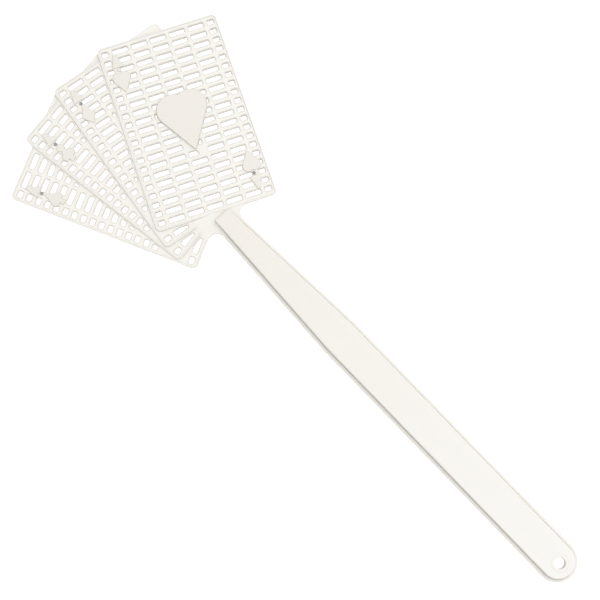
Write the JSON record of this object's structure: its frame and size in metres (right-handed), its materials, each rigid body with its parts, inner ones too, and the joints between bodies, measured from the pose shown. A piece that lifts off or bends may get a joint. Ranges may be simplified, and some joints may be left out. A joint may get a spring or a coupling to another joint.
{
  "type": "fly swatter",
  "caption": "Flat moulded plastic fly swatter with a perforated head shaped like a fan of playing cards and a long bar handle with a hang hole.",
  "frame": {"origin": "centre of the hang hole, on the back face the swatter lies on", "axes": "+Y along the handle to the head, +Z out of the front face, +X to the front card's side"},
  "size_m": [0.1756, 0.4465, 0.0045],
  "materials": {
    "white_plastic": "satin, slightly translucent",
    "handle_face": "satin, slightly translucent",
    "raised_marks": "satin, thicker and so creamier",
    "gate_scar": "dull grey injection scar"
  },
  "bodies": {
    "handle": {"handle_flange": "white_plastic", "handle_panel": "handle_face", "handle_wall_left": "white_plastic", "handle_wall_right": "white_plastic", "handle_wall_tip": "white_plastic", "hang_hole_boss": "white_plastic", "handle_centre_rib": "white_plastic", "handle_cross_ribs_left": "white_plastic", "handle_cross_ribs_right": "white_plastic", "neck_flexure": "white_plastic"},
    "head": {"card_front": "white_plastic", "card_second": "white_plastic", "card_third": "white_plastic", "card_rear": "white_plastic", "rim_front": "white_plastic", "rim_second": "white_plastic", "rim_third": "white_plastic", "rim_rear": "white_plastic", "centre_heart": "raised_marks", "pip_heart_upper": "raised_marks", "pip_heart_lower": "raised_marks", "pip_diamond": "raised_marks", "pip_club": "raised_marks", "pip_spade": "raised_marks", "index_pad_front_upper": "raised_marks", "index_pad_front_lower": "raised_marks", "index_pad_second": "raised_marks", "index_pad_third": "raised_marks", "index_pad_rear": "raised_marks", "gate_marks": "gate_scar", "neck_plate": "white_plastic", "neck_walls": "white_plastic", "neck_panel": "handle_face"}
  },
  "joints": [
    {"name": "neck_flex", "type": "hinge", "parent": "handle", "child": "head", "pos_m": [0, 0.272, 0.00225], "axis": [1, 0, 0], "range_deg": [-15, 15], "stiffness_Nm_per_rad": 1.2, "deforming": ["neck_flexure"]}
  ]
}
